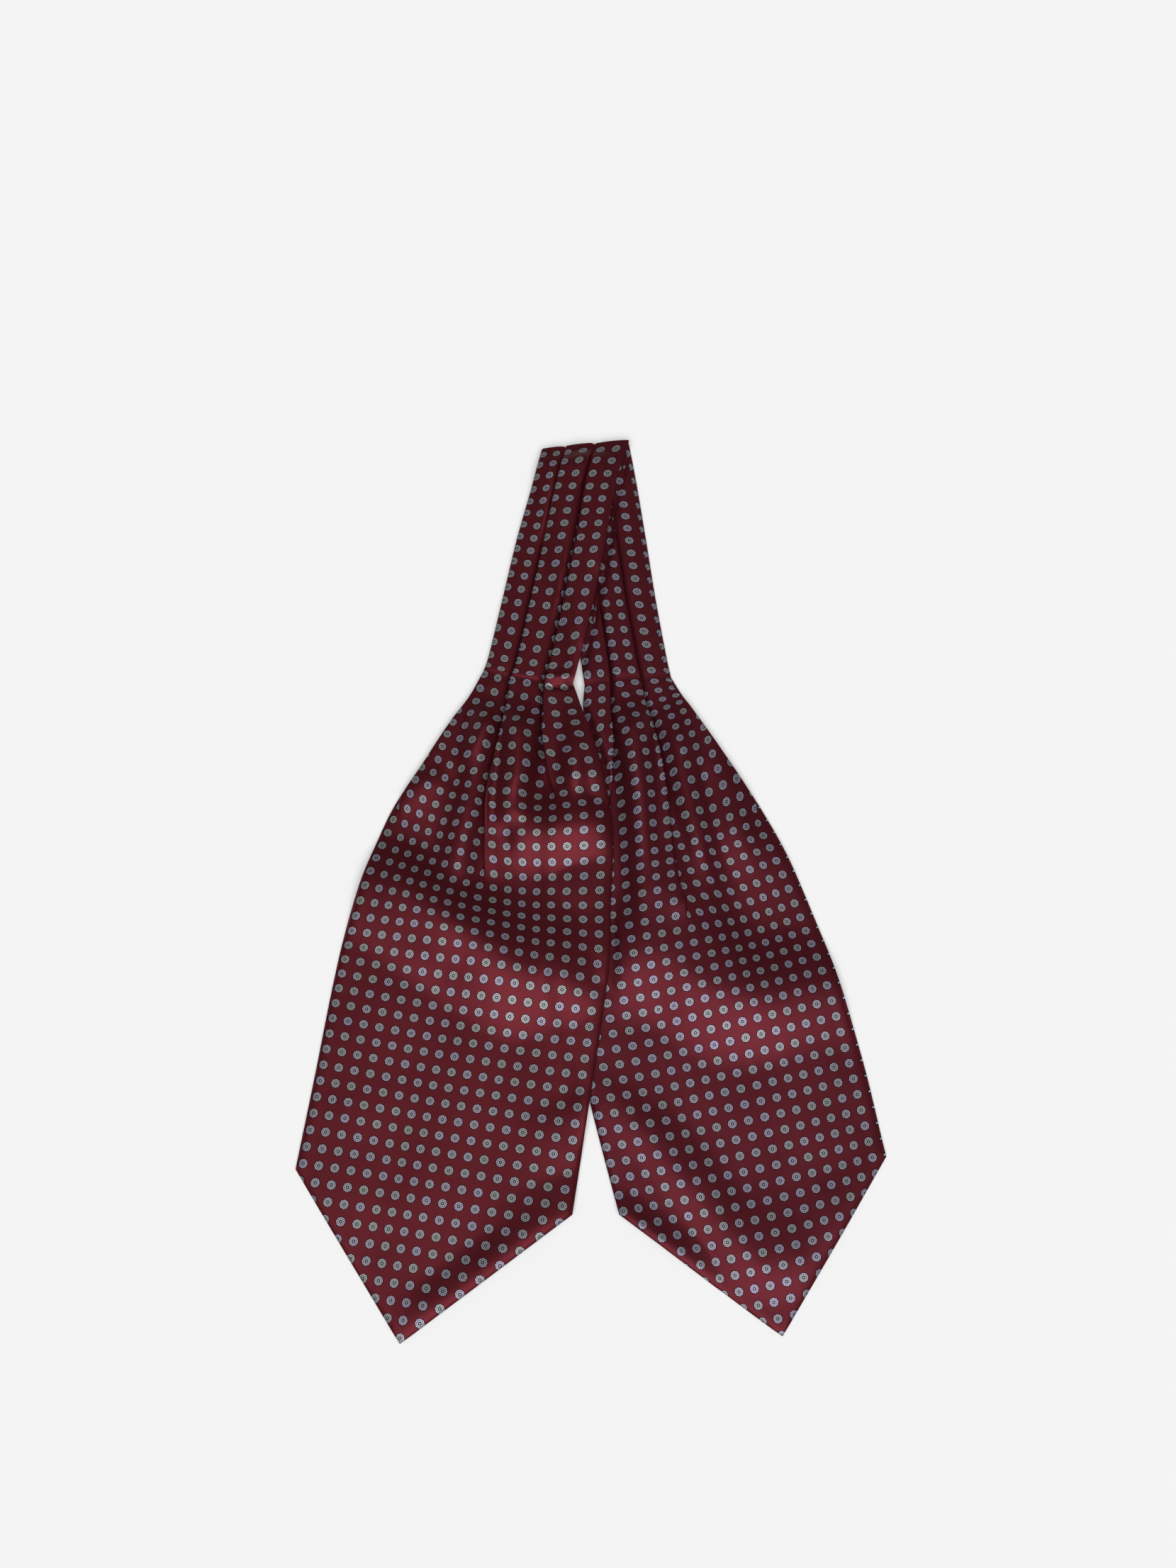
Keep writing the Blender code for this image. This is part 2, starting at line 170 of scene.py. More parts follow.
NECK = 168.0  # mm of cloth from the tack up to the turn of the neck
print("sections:", len(LEFT_BLADE + LEFT_NECK), "left,", len(RIGHT_BLADE + RIGHT_NECK), "right")


# %% Curves through the rows
def smooth(low, high, value):
    """Goes from 0 to 1 with no kink while value goes from low to high."""
    share = min(max((value - low) / (high - low), 0.0), 1.0)
    return share * share * (3.0 - 2.0 * share)


def between(rows, key, value, name):
    """The column called name, read off the rows at key = value, as a smooth curve through them."""
    last = len(rows) - 1
    i = 0
    while i < last - 1 and value > getattr(rows[i + 1], key):
        i += 1
    k0, k1 = getattr(rows[i], key), getattr(rows[i + 1], key)
    v0, v1 = getattr(rows[i], name), getattr(rows[i + 1], name)
    span = k1 - k0
    t = min(max((value - k0) / span, 0.0), 1.0)
    before = after = (v1 - v0) / span
    if i > 0:
        k, v = getattr(rows[i - 1], key), getattr(rows[i - 1], name)
        before = (v1 - v) / (k1 - k)
    if i < last - 1:
        k, v = getattr(rows[i + 2], key), getattr(rows[i + 2], name)
        after = (v - v0) / (k - k0)
    t2, t3 = t * t, t * t * t
    return (
        (2 * t3 - 3 * t2 + 1) * v0
        + (t3 - 2 * t2 + t) * span * before
        + (3 * t2 - 2 * t3) * v1
        + (t3 - t2) * span * after
    )


class Line:
    """One section at a length of cloth from the tack: where any share of its width lies."""

    def __init__(self, rows, down):
        found = [between(rows, "down", down, name) for name in Section._fields[1:]]
        self.outer, self.mid, self.inner = found[0:2], found[2:4], found[4:6]
        self.pleats = found[6:8]
        first = hypot(self.mid[0] - self.outer[0], self.mid[1] - self.outer[1])
        second = hypot(self.inner[0] - self.mid[0], self.inner[1] - self.mid[1])
        self.m = first / (first + second)
        self.width = hypot(self.inner[0] - self.outer[0], self.inner[1] - self.outer[1])

    def at(self, share):
        """The place a share of the way across, on the curve through the three marked points."""
        m = self.m
        a = (share - m) * (share - 1.0) / m
        b = share * (1.0 - share) / (m * (1.0 - m))
        c = share * (share - m) / (1.0 - m)
        return tuple(a * self.outer[i] + b * self.mid[i] + c * self.inner[i] for i in (0, 1))


print("left blade is", round(Line(LEFT_BLADE, 328).width, 1), "mm wide at its corners")

# %% [markdown]
# ## Which threads show
#
# The repeat is a straight grid of small rosettes, one each 9.2 mm. Counting rosettes across the
# cloth says how much of it each pleat swallows. The numbers below are counted across the cloth in
# repeats from the middle line of the strip: edge is the sewn edge, then come, for each of the three
# pleats, the last thread that shows before it goes under and the first that shows on the next fold.
# Where the two are equal the pleat has run out.

# %% Threads
REPEAT = 9.2  # mm from one rosette to the next
ACROSS = 17.2  # repeats across a half that lies open
Threads = namedtuple("Threads", "down edge under_0 nose_0 under_1 nose_1 under_2 nose_2 inner")
LEFT_THREADS = (
    Threads(-168, -9.30, -9.23, -6.10, -4.30, -0.10, 1.75, 5.65, 7.68),
    Threads(-60, -9.30, -9.23, -6.05, -4.10, -0.05, 2.05, 5.75, 7.62),
    Threads(0, -9.30, -9.23, -6.05, -4.05, -0.05, 2.10, 5.75, 7.62),
    Threads(18, -9.30, -9.24, -6.50, -3.90, -0.05, 2.50, 5.30, 7.62),
    Threads(37, -9.30, -9.26, -7.10, -3.25, 0.10, 3.10, 5.05, 7.69),
    Threads(55, -9.30, -9.28, -7.40, -3.15, -0.25, 3.40, 4.50, 7.69),
    Threads(74, -9.30, -9.29, -8.00, -2.50, -0.30, 3.95, 4.35, 7.69),
    Threads(92, -9.30, -9.29, -8.35, -2.30, -0.50, 4.30, 4.35, 7.69),
    Threads(110, -9.30, -9.29, -9.05, -1.40, -0.45, 4.65, 4.65, 7.69),
    Threads(129, -9.30, -9.30, -9.30, -1.15, -0.75, 4.65, 4.65, 7.69),
    Threads(147, -9.30, -9.30, -9.30, -0.95, -0.95, 4.60, 4.60, 7.69),
    Threads(184, -9.30, -9.30, -9.30, -1.70, -1.70, 3.68, 3.68, 7.69),
    Threads(221, -9.30, -9.30, -9.30, -2.66, -2.66, 2.73, 2.73, 7.69),
    Threads(276, -9.30, -9.30, -9.30, -3.72, -3.72, 2.02, 2.02, 7.62),
    Threads(328, -9.30, -9.30, -9.30, -3.90, -3.90, 2.00, 2.00, 7.62),
)
RIGHT_THREADS = (
    Threads(-168, 7.30, 6.95, 3.70, 2.10, -1.70, -3.55, -7.40, -9.30),
    Threads(-60, 7.30, 6.95, 3.75, 2.15, -1.60, -3.60, -7.40, -9.30),
    Threads(0, 7.30, 6.95, 3.80, 2.15, -1.60, -3.60, -7.40, -9.30),
    Threads(20, 7.50, 7.30, 4.20, 1.70, -2.00, -4.40, -7.45, -9.30),
    Threads(39, 7.75, 7.70, 4.60, 1.50, -2.05, -4.90, -7.00, -9.30),
    Threads(58, 7.75, 7.72, 5.05, 1.40, -2.00, -5.35, -6.95, -9.30),
    Threads(76, 7.75, 7.73, 5.60, 1.30, -1.95, -5.65, -6.75, -9.30),
    Threads(95, 7.75, 7.74, 6.20, 1.15, -1.90, -6.00, -6.55, -9.30),
    Threads(113, 7.75, 7.74, 7.20, 0.60, -1.80, -6.25, -6.35, -9.30),
    Threads(131, 7.75, 7.75, 7.75, 0.15, -1.70, -6.30, -6.30, -9.30),
    Threads(150, 7.75, 7.75, 7.75, -0.20, -1.50, -6.20, -6.20, -9.30),
    Threads(168, 7.75, 7.75, 7.75, -0.75, -1.15, -5.75, -5.75, -9.30),
    Threads(184, 7.75, 7.75, 7.75, -0.62, -0.62, -5.34, -5.34, -9.30),
    Threads(223, 7.75, 7.75, 7.75, 0.70, 0.70, -4.44, -4.44, -9.30),
    Threads(278, 7.75, 7.75, 7.75, 1.78, 1.78, -3.82, -3.82, -9.30),
    Threads(336, 7.75, 7.75, 7.75, 1.92, 1.92, -3.84, -3.84, -9.30),
)
for name, rows in (("left", LEFT_THREADS), ("right", RIGHT_THREADS)):
    neck = next(row for row in rows if row.down == 0)
    shown = abs(neck.under_1 - neck.nose_0) + abs(neck.under_2 - neck.nose_1)
    shown += abs(neck.inner - neck.nose_2)
    print(name, "tack:", round(shown * REPEAT, 1), "mm shows of", round(ACROSS * REPEAT, 1))

# %% [markdown]
# ## Loose waves
#
# Below the tack the opened pleats run on as soft ridges, and the cloth lies in a few broad waves
# across each blade. They are placed crest by crest, where the silk shows them. Each wave
# is a table of places along its crest, with how far it reaches towards the neck (back) and towards
# the tip (front). Each ridge is a line with two ends, over which it rises and falls.

# %% Waves and ridges
Crest = namedtuple("Crest", "x y height back front")
WAVES = {
    "left": (
        (
            Crest(-51, -32, 0.0, 28, 30),
            Crest(-42, -30, 7.0, 30, 31),
            Crest(-30, -29, 8.4, 30, 34),
            Crest(-12, -28, 8.0, 30, 31),
            Crest(6, -26, 6.2, 30, 27),
            Crest(20, -24, 0.0, 26, 24),
        ),
        (
            Crest(-152, -58, 0.8, 32, 36),
            Crest(-135, -62, 5.5, 34, 44),
            Crest(-105, -74, 10.6, 40, 52),
            Crest(-75, -94, 12.0, 44, 52),
            Crest(-45, -112, 10.0, 50, 50),
            Crest(-15, -122, 5.6, 52, 32),
            Crest(14, -128, 0.5, 46, 28),
        ),
        (
            Crest(-112, -2, 0.0, 16, 30),
            Crest(-97, -4, 1.8, 16, 34),
            Crest(-85, -6, 2.6, 18, 36),
            Crest(-72, -10, 0.0, 16, 30),
        ),
        (
            Crest(-38, -208, 0.0, 14, 36),
            Crest(-22, -210, 1.1, 20, 40),
            Crest(-6, -204, 1.6, 22, 40),
            Crest(8, -196, 1.4, 24, 36),
        ),
    ),
    "right": (
        (
            Crest(2, -110, 1.0, 36, 40),
            Crest(15, -110, 4.0, 40, 44),
            Crest(30, -102, 7.6, 60, 52),
            Crest(45, -107, 8.8, 130, 52),
            Crest(60, -117, 9.2, 130, 54),
            Crest(90, -131, 8.4, 50, 48),
            Crest(120, -130, 5.6, 42, 40),
            Crest(150, -124, 3.2, 36, 44),
            Crest(165, -118, 1.4, 30, 36),
        ),
        (
            Crest(68, -16, 0.0, 24, 44),
            Crest(80, -16, 2.4, 24, 50),
            Crest(96, -34, 3.0, 24, 46),
            Crest(112, -48, 2.0, 24, 40),
            Crest(126, -58, 0.2, 24, 36),
        ),
        (
            Crest(-2, -192, 0.8, 26, 40),
            Crest(14, -198, 1.2, 26, 24),
            Crest(30, -210, 1.8, 24, 24),
            Crest(45, -228, 2.2, 34, 24),
            Crest(64, -250, 2.7, 40, 26),
            Crest(82, -271, 3.0, 38, 32),
            Crest(100, -282, 3.0, 42, 28),
            Crest(125, -276, 2.6, 42, 30),
            Crest(150, -250, 1.4, 30, 28),
            Crest(165, -232, 0.3, 24, 24),
        ),
    ),
}
Ridge = namedtuple("Ridge", "x0 y0 x1 y1 height width rise fall")
RIDGES = {
    "left": (
        Ridge(-61, 48, -82, -74, 8.4, 9.8, 14, 60),
        Ridge(-43, 46, -42, -30, 8.4, 10.4, 14, 10),
        Ridge(-8, 38, -6, -28, 5.6, 8.0, 24, 10),
        Ridge(-10, -255, -98, -319, 2.8, 13.0, 14, 26),
        Ridge(-6, -246, -44, -274, 1.8, 14.0, 10, 26),
    ),
    "right": (
        Ridge(27, 46, 35, -92, 8.4, 9.6, 16, 26),
        Ridge(50, 44, 73, -74, 9.6, 9.0, 40, 50),
        Ridge(76, 10, 98, -60, 5.0, 11.0, 50, 44),
        Ridge(16, -259, 58, -289, 3.0, 12.0, 8, 26),
    ),
}
for side in ("left", "right"):
    print(side, "half:", len(WAVES[side]), "waves,", len(RIDGES[side]), "ridges")

# %% Height of the waves
RIDGE_LEAD = 18.0  # mm before its first end at which a ridge starts to rise
RIDGE_TAIL = 0.7  # a ridge dies out this share of its fall beyond its last end
RIDGE_FOOT = 1.6  # a ridge's foot lies at this many times its width


def bump(share):
    """1 at share 0, softly down to 0 at share 1 and beyond."""
    return 0.5 + 0.5 * cos(pi * min(share, 1.0))


def wave_height(crests, x, y):
    """Height at x, y of one wave, which is steeper on the side where it reaches less far."""
    x = min(max(x, crests[0].x), crests[-1].x)
    off = y - between(crests, "x", x, "y")
    reach = between(crests, "x", x, "back" if off > 0 else "front")
    return max(between(crests, "x", x, "height"), 0.0) * bump(abs(off) / reach)


def ridge_height(ridge, x, y):
    """Height at x, y of one ridge, which fades out at both ends of its line."""
    dx, dy = ridge.x1 - ridge.x0, ridge.y1 - ridge.y0
    length = hypot(dx, dy)
    along = ((x - ridge.x0) * dx + (y - ridge.y0) * dy) / length
    off = abs((x - ridge.x0) * dy - (y - ridge.y0) * dx) / length
    rise = smooth(-RIDGE_LEAD, ridge.rise, along)
    ends = rise * (1.0 - smooth(length - ridge.fall, length + RIDGE_TAIL * ridge.fall, along))
    return ridge.height * ends * bump(off / (RIDGE_FOOT * ridge.width))


def loose(side, x, y):
    """Height of the waves and ridges of a half at x, y: the highest of them, softly joined."""
    found = [ridge_height(ridge, x, y) for ridge in RIDGES[side]]
    found += [wave_height(crests, x, y) for crests in WAVES[side]]
    return sum(height**3 for height in found) ** (1.0 / 3.0)


print("the long wave on the left stands", round(loose("left", -75.0, -94.0), 1), "mm high")

# %% [markdown]
# ## The left half over the right half
#
# Down the middle the left half lies on the right one. At each y, a table says where the edge of the
# lower cloth runs and how thick it is there, and the upper cloth slopes up to it over a skirt. This
# broad lift keeps the upper cloth calm, and the exact height of what lies under it comes later.

# %% Lift over the right half
Rest = namedtuple("Rest", "y edge_x height")
OVERLAP = (
    Rest(-230, 12.0, 1.8),
    Rest(-205, 4.0, 2.3),
    Rest(-182, 0.5, 2.6),
    Rest(-150, -9.0, 2.6),
    Rest(-112, -15.0, 3.0),
    Rest(-77, -19.0, 2.8),
    Rest(-42, -17.0, 2.6),
    Rest(-8, -10.0, 2.8),
    Rest(12, -6.0, 2.8),
    Rest(25, -3.5, 2.9),
    Rest(52, -2.5, 3.3),
    Rest(79, -3.2, 3.9),
    Rest(121, -10.5, 3.9),
    Rest(163, -17.5, 3.9),
    Rest(201, -24.5, 3.9),
    Rest(240, -31.5, 3.9),
)
SKIRT = 15.0  # mm before the edge at which the upper cloth starts to rise
FULL_BEFORE = 2.0  # mm before the edge at which it is all the way up


def lift(x, y):
    """How high the left half is carried by the right half under it."""
    y = min(max(y, OVERLAP[0].y), OVERLAP[-1].y)
    edge = between(OVERLAP, "y", y, "edge_x")
    return between(OVERLAP, "y", y, "height") * smooth(edge - SKIRT, edge - FULL_BEFORE, x)


print("lift at the tack", round(lift(0.0, 64.0), 1), "mm, at the corners", round(lift(0.0, -205.0), 1))

# %% [markdown]
# ## One section of folded cloth
#
# A knife pleat is an S on its side: the cloth runs in under the next fold, turns, comes back, and
# turns again at the folded edge that shows. The section is built as that S for each of the three
# pleats, with the panels that show between them. Where a pleat has run out, its points spread out
# flat, so the same grid of points serves from the neck to the point.

# %% Section of cloth
CLOTH = 0.85  # the silk and its backing together, mm
LAYER = 1.1  # from one layer of a pile to the next
SPREAD = 8.0  # length of panel that a spent pleat's points are spread over
PANEL_POINTS = (4, 14, 14, 14)
FOLD_STAND = (0.5, 1.0, 0.75)  # of the three folds, as shares of the tallest
DIVE = 3.0  # width over which a pressed panel dives under the next fold
SLOPE = 15.0  # width over which a loose panel comes down to the table
CROWD = 0.11  # how much a panel's points crowd towards its two ends
STAND = 2.3  # a fold's height over the height of its flat layers
TURN_PRESS = 1.85  # taken off it at the turn of the neck, which is pressed
TACK_SPRING = 0.5  # added below the tack, where the folds spring open
BLADE_CALM = 1.4  # taken off it where they have opened
EDGE_DROP = 1.3  # how far a blade's padded edge falls to the table
EDGE_ROLL = 5.5  # over this width


def pleat_points(tuck):
    """(across, height, share of the hidden cloth) through one pleat, from under its folded edge."""
    r = LAYER / 2.0
    turn = [(tuck + r * sin(a), r - r * cos(a)) for a in (pi / 4, pi / 2, 3 * pi / 4)]
    nose = [(0.2 - r * sin(a), 3 * r - r * cos(a)) for a in (0.0, pi / 4, pi / 2, 3 * pi / 4, pi)]
    path = [(0.0, 0.0), (tuck / 2, 0.0), (tuck, 0.0)] + turn + [(tuck, LAYER), (tuck / 2, LAYER)]
    path += nose
    run = [0.0]
    for (x0, z0), (x1, z1) in zip(path, path[1:]):
        run.append(run[-1] + hypot(x1 - x0, z1 - z0))
    return [(x, z, length / run[-1]) for (x, z), length in zip(path, run)]


print("points in one pleat:", len(pleat_points(20.0)))


# %% How high the folds stand
def stand(down):
    """How high the folds stand, over the height of their flat layers, along the strip."""
    tall = STAND - TURN_PRESS * (1.0 - smooth(-NECK, -NECK + 16.0, down))
    spring = TACK_SPRING * smooth(5.0, 40.0, down) * (1.0 - smooth(70.0, 130.0, down))
    return tall + (spring - BLADE_CALM * smooth(40.0, 150.0, down))


print("folds at the tack stand", round(stand(0.0), 2), "times the height of their flat layers")


# %% One whole section
def folded_section(line, threads, set_back, down):
    """(share of the width, height, thread) for each point across a half, outer edge first."""
    width = line.width
    folds = [set_back, line.pleats[0] * width, line.pleats[1] * width]
    names = ("0", "1", "2")
    under = [between(threads, "down", down, "under_" + n) for n in names]
    nose = [between(threads, "down", down, "nose_" + n) for n in names]
    inner = between(threads, "down", down, "inner")
    way = 1.0 if inner > 0 else -1.0
    hidden = [max((nose[i] - under[i]) * way, 0.0) * REPEAT for i in (0, 1, 2)]
    closed = [smooth(0.0, 7.0, length) for length in hidden]
    ends = folds[1:] + [width]
    points = []
    start = start_height = tuck = 0.0
    start_thread = between(threads, "down", down, "edge")
    tall = stand(down)
    pressed = 1.0 - smooth(20.0, 90.0, down)
    for panel, count in enumerate(PANEL_POINTS):
        last = panel == len(PANEL_POINTS) - 1
        shut = 1.0 if last else closed[panel]
        half_spread = 0.0 if last else (1.0 - shut) * SPREAD / 2
        lead = half_spread if panel == 0 else 0.0
        stop = width if last else max(folds[panel] + lead - half_spread, start + 0.3)
        stop_thread = inner if last else under[panel] + way * (lead - half_spread) / REPEAT
        long = stop - start
        # The panel's height falls from that of the fold it leaves: at once and slowly where it is
        # loose, and only just before the next fold where it is pressed.
        fall_from = min(tuck, 0.75 * long)
        fall_to = min(long - 0.6, fall_from + SLOPE)
        fall_from += pressed * (max(long - DIVE, 0.0) - fall_from)
        fall_to += pressed * (long - 1.5 - fall_to)
        for step in range(count + (1 if last else 0)):
            q = step / count
            q -= CROWD * sin(2.0 * pi * q)
            high = start_height * (1.0 - smooth(fall_from, max(fall_to, fall_from + 0.4), q * long))
            if last:
                high = start_height * (1.0 - 0.8 * smooth(fall_from, long + 8.0, q * long))
            puff = sin(pi * q) * (0.45 * min(long / 15.0, 1.0) if panel else 0.4 * min(long, 3.0))
            points.append(((start + q * long) / width, high + puff,
                           start_thread + q * (stop_thread - start_thread)))
        if last:
            break
        room = ends[panel] - folds[panel]
        tuck = min(hidden[panel] / 2.0, max(room - 4.0, 0.0) if panel < 2 else room - 1.5)
        path = pleat_points(tuck * shut)
        for k, (x, z, share) in enumerate(path):
            flat = lead + (1.0 - shut) * SPREAD * (k / (len(path) - 1) - 0.5)
            across = folds[panel] + shut * x + flat
            thread = under[panel] + way * (flat + share * hidden[panel]) / REPEAT
            points.append((across / width, z * shut * tall * FOLD_STAND[panel], thread))
        start = points[-1][0] * width
        start_thread = points[-1][2]
        start_height = points[-1][1]
        points.pop()
    return points


print("points across:", len(folded_section(Line(LEFT_NECK, 60), LEFT_THREADS, 0.8, -60)))

# %% [markdown]
# ## A half, from the neck fold to the point
#
# The sections are strung together along the strip, close by the tack and wider apart below. At the
# tack the pile is pinched by the stitches, with small puffs of loose cloth and one sharp dip beside
# them. Below it the sewn edges are padded and rounded, so they fall to the table over a few
# millimetres.

# %% Where the sections stand
def rows_along(end):
    """Lengths of cloth from the tack at which the sections stand, those of the neck below 0."""
    found = [-NECK + 3.0 * i for i in range(51)]
    found += [-15.0, -12.5, -10.0, -8.0, -6.2, -4.6, -3.2, -2.0, -1.0, 0.0]
    found += [1.0, 2.0, 3.2, 4.6, 6.2, 8.0, 10.0]
    down = 12.0
    while down < end - 1.0:
        found.append(down)
        down += 2.0
    return found + [end - 0.6, end]


PINCH = 0.08  # share of its height that the pile loses at the stitches
SLANT = 0.70  # from a length along the strip to the distance from a point's slanting edge
OPEN_BELOW = 150  # mm below the tack from which the slanting edges count


def pinch(down):
    """Share of its height that the pile keeps near the stitches."""
    return 1.0 - PINCH * bump(abs(down) / 5.0)


def edge_gap(line, share, down, end):
    """Distance in mm to the nearest sewn edge, where the blade is open and padded."""
    sides = min(share, 1.0 - share) * line.width
    point = (end - down) * SLANT
    return min(sides, point) if down > OPEN_BELOW else sides


print("sections along the left half:", len(rows_along(LEFT_BLADE[-1].down)))

# %% [markdown]
# ## What carries the left half
#
# A cloth simulation would settle one half on the other, but it would also drift from the photo. So
# the right half is laid first, and a map of its height, in small square cells, carries the left
# half wherever the lift alone would let it sink in. Just beside the left half's inner edge the right
# half is pressed down, because that edge rests on it there.

# %% Map of the cloth below
CELL = 2.0  # mm, of the map of what lies under the left half
SEAT = 1.3  # from the top of one sheet to the middle of the sheet on it


def height_map(rows):
    """Greatest height of a sheet in each cell that its points and the middles between them touch."""
    found = {}
    for upper, lower in zip(rows, rows[1:]):
        for a, b, c in zip(upper, lower, upper[1:]):
            for x, y, z in (a[:3], [(a[i] + b[i]) / 2 for i in range(3)],
                            [(a[i] + c[i]) / 2 for i in range(3)]):
                key = (round(x / CELL), round(y / CELL))
                found[key] = max(found.get(key, 0.0), z)
    spread = {}
    for (i, j), z in found.items():
        for di in (-1, 0, 1):
            for dj in (-1, 0, 1):
                key = (i + di, j + dj)
                spread[key] = max(spread.get(key, 0.0), z)
    return spread


def carried(under, x, y):
    """Height of the map at x, y, evened out over the cells around it."""
    i, j = x / CELL, y / CELL
    total = weight = 0.0
    for di in range(-2, 3):
        for dj in range(-2, 3):
            cell = (round(i) + di, round(j) + dj)
            w = bump(hypot(cell[0] - i, cell[1] - j) / 3.0)
            total += w * under.get(cell, 0.0)
            weight += w
    return total / weight


print("map cells are", CELL, "mm wide")

# %% Dip beside the left half
LEFT_INNER = tuple(reversed(LEFT_BLADE[1:])) + LEFT_NECK
DIP_OFF = 1.9  # mm from the left half's inner edge to the middle of the dip
DIP_WIDE = 4.6  # mm from there to where the dip has run out


def beside_overlap(x, y):
    """1 just right of the left half's inner edge, where the right half dips under it, else 0."""
    if not LEFT_INNER[0].inner_y < y < LEFT_INNER[-1].inner_y:
        return 0.0
    return bump(abs(x - between(LEFT_INNER, "inner_y", y, "inner_x") - DIP_OFF) / DIP_WIDE)


print("inner edge of the left half:", len(LEFT_INNER), "rows")

# %% Lay a half
PRINT_START = {"left": -0.27, "right": -0.4}  # repeats by which the print is off at the tack
Puff = namedtuple("Puff", "x down wide long tall")
PUFFS = {
    "left": (
        Puff(-17.0, -7.0, 12.0, 7.0, 1.3),
        Puff(-17.0, 2.2, 12.0, 2.4, -2.6),
        Puff(-60.0, 9.0, 9.0, 9.0, 0.6),
    ),
    "right": (Puff(-2.0, -6.0, 8.0, 8.0, 0.5),),
}
CLEAR = 0.1  # mm between the table and the lowest cloth
RUMPLE = 0.35  # height of the small unevenness that no cloth is without, mm
RUMPLE_SIZE = 26.0  # mm from one bump of it to the next


def lay_half(side, under):
    """Rows of (x, y, z, thread, length) in mm and repeats for a half, laid on the map under it."""
    neck_rows, blade_rows, threads = {
        "left": (LEFT_NECK, LEFT_BLADE, LEFT_THREADS),
        "right": (RIGHT_NECK, RIGHT_BLADE, RIGHT_THREADS),
    }[side]
    end = blade_rows[-1].down
    tip = TIPS[side]
    corners = Line(blade_rows, end)
    middle = [(corners.outer[i] + corners.inner[i]) / 2 for i in (0, 1)]
    fall = [(tip[i] - middle[i]) / TIP_DEPTH for i in (0, 1)]
    rows = []
    for down in rows_along(end):
        line = Line(neck_rows, -down) if down < 0 else Line(blade_rows, down)
        out = 0.9 if side == "left" else 3.0 - 2.2 * smooth(0, 40, down)
        chevron = TIP_DEPTH * smooth(180, end, down)
        waves = smooth(4, 40, down)
        row = []
        for share, high, thread in folded_section(line, threads, out, down):
            x, y = line.at(share)
            point = chevron * (1.0 - abs(2.0 * share - 1.0))
            x, y = x + point * fall[0], y + point * fall[1]
            z = high * pinch(down)
            free = loose(side, x, y) * waves
            if side == "right":
                z *= 1.0 - 0.8 * beside_overlap(x, y)
                free *= 1.0 - 0.65 * beside_overlap(x, y)
            else:
                below = carried(under, x, y)
                free = max(free + lift(x, y), below + (SEAT - CLOTH / 2) * smooth(0.0, 1.0, below))
            z += free
            for puff in PUFFS[side]:
                near = bump(abs(down - puff.down) / puff.long)
                z += puff.tall * bump(abs(x - puff.x) / puff.wide) * near
            padded = smooth(20, 120, down)
            gap = min(edge_gap(line, share, down, end) / EDGE_ROLL, 1.0)
            z += EDGE_DROP * padded * sqrt(max(1.0 - (1.0 - gap) ** 2, 0.0))
            z += RUMPLE * waves * noise.noise(Vector((x / RUMPLE_SIZE, y / RUMPLE_SIZE, 3.0)))
            z = max(z, 0.0) + CLOTH / 2 + CLEAR
            row.append((x, y, z, thread, (down + point) / REPEAT + PRINT_START[side]))
        rows.append(row)
    return rows


right_rows = lay_half("right", {})
left_rows = lay_half("left", height_map(right_rows))
print("highest point, mm:", round(max(point[2] for row in left_rows for point in row), 1))

# %% [markdown]
# ## The turn at the back of the neck
#
# The left half doesn't end at the fold: its whole pile of pleats turns over there and goes down to
# the table. Half a circle round the fold does it, and each layer keeps its own radius, so the outer
# one has the longest way round.

# %% Turn
TURN_STEPS = 10


def neck_turn(first):
    """Rows that carry the pile round the back of the neck and down to the table, last one first."""
    axis = min(point[2] for point in first) - CLOTH / 2 - CLEAR
    left = min(first, key=lambda point: point[0])
    right = max(first, key=lambda point: point[0])
    length = hypot(right[0] - left[0], right[1] - left[1])
    over = (-(right[1] - left[1]) / length, (right[0] - left[0]) / length)
    found = []
    for step in range(TURN_STEPS, 0, -1):
        angle = pi * step / TURN_STEPS
        row = []
        for x, y, z, thread, along in first:
            reach = z - axis
            out = reach * sin(angle)
            row.append((x + over[0] * out, y + over[1] * out, axis + reach * cos(angle),
                        thread, along - reach * angle / REPEAT))
        found.append(row)
    return found


left_rows = neck_turn(left_rows[0]) + left_rows
print("rows: right", len(right_rows), "left", len(left_rows))

# %% [markdown]
# ## From rows to cloth
#
# The rows become one grid of faces. Solidify gives it the thickness of silk and backing, on both
# sides of the grid, and a small bevel rounds the sewn rims. The counts along and across the threads
# are kept as a UV map, so the print stays on its threads however the cloth lies.

